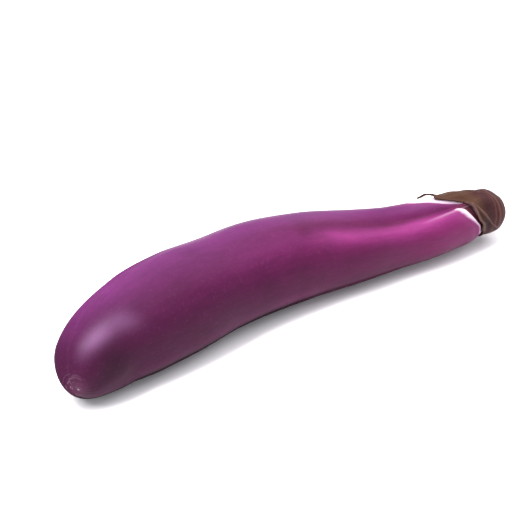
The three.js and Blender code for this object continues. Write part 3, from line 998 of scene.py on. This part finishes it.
# Closing rings as shares of the side's rim: at the foot, and over the cut face
# with the face's bulge and its share of the cut colour
FOOT_SHARES = np.array([0.0, 0.5, 0.9])
CUT_SHARES = np.array([0.97, 0.92, 0.84, 0.72, 0.58, 0.44, 0.30, 0.16, 0.0])
CUT_BULGE = np.array([0.22, 0.38, 0.42, 0.36, 0.30, 0.33, 0.30, 0.24, 0.2])
CUT_COLOR = np.array([0.3, 1, 1, 1, 1, 1, 1, 1, 1])


def stalk_finish(size):
    """Ribbed brown stalk with fibres along it and a pale pithy cut."""
    finish = Finish("stalk bark")
    fibre = finish.noise(finish.read("grain", vector=True), scale=18.0, detail=5.0, roughness=0.65)
    tone = finish.ramp(fibre, [
        (0.25, tuple(c * 0.45 for c in size.bark)),
        (0.50, size.bark),
        (0.78, tuple(min(1.0, c * 1.9) for c in size.bark)),
    ])
    pith = finish.noise(finish.place(), scale=1500.0, detail=3.0, roughness=0.6)
    face = finish.ramp(pith, [
        (0.3, tuple(c * 0.55 for c in size.cut)), (0.6, size.cut),
    ])
    tone = finish.mix(finish.read("cut"), tone, face)
    finish.dress("Base Color", tone)
    dull = finish.span(fibre, (0.3, 0.7), (0.72, 0.5))
    finish.dress("Roughness", dull)
    normal = finish.bump(fibre, strength=0.6, distance=0.0006)
    normal = finish.bump(pith, strength=0.3, distance=0.0002, normal=normal)
    finish.dress("Normal", normal)
    return finish.material


def stalk_path(calyx, size):
    """Straight off the pole, round the hook in a circle arc, then straight."""
    place, heading, _, _ = spine.frame(np.array(LENGTH))
    pole = np.array(0.0)
    lift = calyx.gap + float(calyx_thickness(pole, pole, pole, calyx)) + STALK_GAP
    base = place + heading * (lift - STALK_SUNK)
    hook = unit(np.array(HOOK_WAY))
    across = unit(hook - heading * (hook @ heading))
    sweep = math.acos(float(hook @ heading))
    turn = np.linspace(0, sweep, 6)[:, None]
    bend = place + heading * (lift + STALK_NECK + size.hook * np.sin(turn))
    bend = bend + across * (size.hook * (1 - np.cos(turn)))
    last = bend[-1] + hook * size.straight
    return Path(np.concatenate([base[None], bend, last[None]]))


def build_stalk(calyx, size):
    """A ribbed round profile carried along the hooked path, with a cut end.

    Radius = stalk + flare at the calyx + small flare at the cut, times
    1 + rib depth * cos(5 * angle), plus fine fibres and a wrinkle at the bend.
    """
    line = stalk_path(calyx, size)
    angle = np.arange(STALK_COLUMNS) * 2 * np.pi / STALK_COLUMNS
    s = np.linspace(0, line.length, STALK_RINGS)
    place, ahead, side, up = line.frame(s)
    s, turn = np.meshgrid(s, angle, indexing="ij")
    past = s - STALK_SUNK
    radius = size.radius + 1.0 * bump(past, (0, 3.0)) + 0.45 * bump(s, (line.length, 3.5))
    ribs = 1 + 0.075 * np.cos(5 * turn + 0.1 * past)
    fibres = 0.06 * np.cos(17 * turn + 0.2 * s) + 0.04 * np.cos(31 * turn - 0.15 * s)
    wrinkle = 0.05 * np.sin(s * 2.1 + 2 * np.sin(turn)) * bump(s, (9, 5))
    reach = radius * ribs + fibres + wrinkle
    body = place[:, None] + around(up[:, None], side[:, None], turn) * reach[..., None]

    foot = place[0] + (body[0] - place[0])[None] * FOOT_SHARES[:, None, None]
    rim = body[-1] - place[-1]
    cut = place[-1] + rim[None] * CUT_SHARES[:, None, None]
    cut = cut + ahead[-1] * CUT_BULGE[:, None, None]
    points = np.concatenate([foot, body, cut])

    bark = surface("stalk_bark", points, 1)
    kinds = np.concatenate([np.zeros(len(FOOT_SHARES) + STALK_RINGS), CUT_COLOR])
    paint(bark, "cut", np.broadcast_to(kinds[:, None], points.shape[:2]))
    along = np.concatenate([np.zeros(len(FOOT_SHARES)), s[:, 0], line.length + CUT_BULGE])
    along = np.broadcast_to(along[:, None] / 14.0, points.shape[:2])
    about = np.broadcast_to(angle, points.shape[:2])
    paint_vectors(bark, "grain", np.stack([along, np.cos(about), np.sin(about)], -1))
    bark.data.materials.append(stalk_finish(size))
    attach(bark, "root")
    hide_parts("stalk")
    return bark


# ---- the studio, in metres ----------------------------------------------

FLOOR_HALF = 3.0
SKY_COLOR = (0.96, 0.975, 1, 1)

# Lights: place, the spot that they face, width and height
TOP_PLACE, TOP_SPOT, TOP_SIZE = (0.12, 0.10, 0.80), (0.0, 0.0, 0.02), (1.6, 1.2)
LEFT_PLACE, LEFT_SPOT, LEFT_SIZE = (-0.40, -0.08, 0.55), (-0.11, -0.01, 0.03), (0.10, 0.36)

# The photograph's view: place, tilt from straight down and turn
CAMERA_PLACE, CAMERA_TILT, CAMERA_TURN = (-0.23232, -0.28586, 0.2432), 59, -35.36


def floor_finish(size):
    """Plain matt floor."""
    finish = Finish("pale floor")
    finish.dress("Base Color", (*size.floor, 1))
    finish.dress("Roughness", 0.9)
    finish.dress("Specular IOR Level", 0.1)
    return finish.material


def soft_light(name, place, spot, size, power):
    """A rectangular light that faces a spot."""
    lamp = bpy.data.lights.new(name, "AREA")
    lamp.shape = "RECTANGLE"
    lamp.size, lamp.size_y = size
    lamp.energy = power
    thing = place_in_scene(name, lamp)
    thing.location = place
    way = Vector(spot) - thing.location
    thing.rotation_euler = way.to_track_quat("-Z", "Y").to_euler()


def build_stage(size):
    """Pale floor, even sky, two soft lights and the photograph's camera."""
    mesh = bpy.data.meshes.new("floor")
    corners = [(x * FLOOR_HALF, y * FLOOR_HALF, 0) for x, y in ((-1, -1), (1, -1), (1, 1), (-1, 1))]
    mesh.from_pydata(corners, [], [(0, 1, 2, 3)])
    floor = place_in_scene("floor", mesh)
    mesh.materials.append(floor_finish(size))

    world = bpy.data.worlds.new("studio")
    world.use_nodes = True
    sky = world.node_tree.nodes["Background"]
    sky.inputs["Color"].default_value = SKY_COLOR
    sky.inputs["Strength"].default_value = size.sky
    bpy.context.scene.world = world

    soft_light("top light", TOP_PLACE, TOP_SPOT, TOP_SIZE, size.top)
    soft_light("left light", LEFT_PLACE, LEFT_SPOT, LEFT_SIZE, size.left)

    lens = bpy.data.cameras.new("camera")
    lens.lens = size.lens
    lens.clip_start = 0.01
    camera = place_in_scene("camera", lens)
    camera.location = CAMERA_PLACE
    camera.rotation_euler = (math.radians(CAMERA_TILT), 0, math.radians(CAMERA_TURN))
    bpy.context.scene.camera = camera
    bpy.context.scene.view_settings.view_transform = "Standard"


# ---- operators, panel and registration ----------------------------------

class EGGPLANT_OT_fruit(bpy.types.Operator):
    """Build the waxy purple fruit"""

    bl_idname = "eggplant.fruit"
    bl_label = "Fruit"

    def execute(self, context):
        build_fruit(context.scene.eggplant_fruit)
        return {"FINISHED"}


class EGGPLANT_OT_calyx(bpy.types.Operator):
    """Build the leathery calyx over the stalk end"""

    bl_idname = "eggplant.calyx"
    bl_label = "Calyx"

    def execute(self, context):
        build_calyx(context.scene.eggplant_fruit, context.scene.eggplant_calyx)
        return {"FINISHED"}


class EGGPLANT_OT_stalk(bpy.types.Operator):
    """Build the hooked stalk"""

    bl_idname = "eggplant.stalk"
    bl_label = "Stalk"

    def execute(self, context):
        build_stalk(context.scene.eggplant_calyx, context.scene.eggplant_stalk)
        return {"FINISHED"}


class EGGPLANT_OT_stage(bpy.types.Operator):
    """Lay the floor and set up the lights and the camera"""

    bl_idname = "eggplant.stage"
    bl_label = "Stage"

    def execute(self, context):
        build_stage(context.scene.eggplant_stage)
        return {"FINISHED"}


class EGGPLANT_PT_panel(bpy.types.Panel):
    """Lists the pieces in the sidebar"""

    bl_label = "Eggplant"
    bl_idname = "EGGPLANT_PT_panel"
    bl_space_type = "VIEW_3D"
    bl_region_type = "UI"
    bl_category = "Eggplant"

    def draw(self, context):
        for name in ("fruit", "calyx", "stalk", "stage"):
            self.layout.operator(f"eggplant.{name}")


SETTINGS = {
    "eggplant_fruit": FruitSettings,
    "eggplant_calyx": CalyxSettings,
    "eggplant_stalk": StalkSettings,
    "eggplant_stage": StageSettings,
}
CLASSES = (
    *SETTINGS.values(),
    EGGPLANT_OT_fruit,
    EGGPLANT_OT_calyx,
    EGGPLANT_OT_stalk,
    EGGPLANT_OT_stage,
    EGGPLANT_PT_panel,
)


def register():
    for cls in CLASSES:
        bpy.utils.register_class(cls)
    for name, kind in SETTINGS.items():
        setattr(bpy.types.Scene, name, PointerProperty(type=kind))


def unregister():
    for name in SETTINGS:
        delattr(bpy.types.Scene, name)
    for cls in reversed(CLASSES):
        bpy.utils.unregister_class(cls)


def main():
    register()
    bpy.ops.eggplant.fruit()
    bpy.ops.eggplant.calyx()
    bpy.ops.eggplant.stalk()
    bpy.ops.eggplant.stage()


if __name__ == "__main__":
    main()
